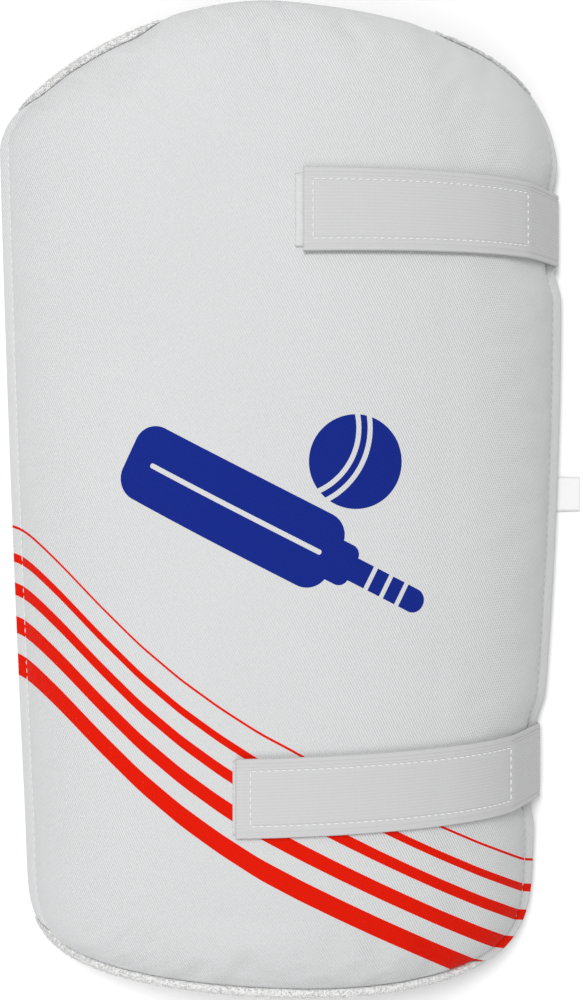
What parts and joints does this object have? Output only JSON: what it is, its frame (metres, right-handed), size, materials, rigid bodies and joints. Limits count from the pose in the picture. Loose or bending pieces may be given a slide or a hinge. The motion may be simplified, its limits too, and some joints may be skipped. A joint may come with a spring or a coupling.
{
  "type": "cricket thigh guard",
  "caption": "Padded arched guard with a printed cover, a towelling lining and two elastic straps, worn on the front of the thigh.",
  "frame": {"origin": "middle of the box's underside, on the surface that the guard lies on", "axes": "+Y towards the apex of the guard, along the thigh; +X towards the rim that the straps wrap; +Z out of the padded front"},
  "size_m": [0.249, 0.4006, 0.0692],
  "materials": {
    "cover_cloth": "matt woven twill, white with printed red stripes",
    "towelling": "soft white towelling",
    "elastic": "ribbed white elastic webbing",
    "grip_tape": "white loop tape with a woven edge",
    "label_satin": "plain white satin tape"
  },
  "bodies": {
    "root": {"front_panel": "cover_cloth", "back_lining": "towelling", "upper_strap": "elastic", "lower_strap": "elastic", "upper_grip_patch": "grip_tape", "lower_grip_patch": "grip_tape", "size_label": "label_satin"}
  },
  "joints": []
}
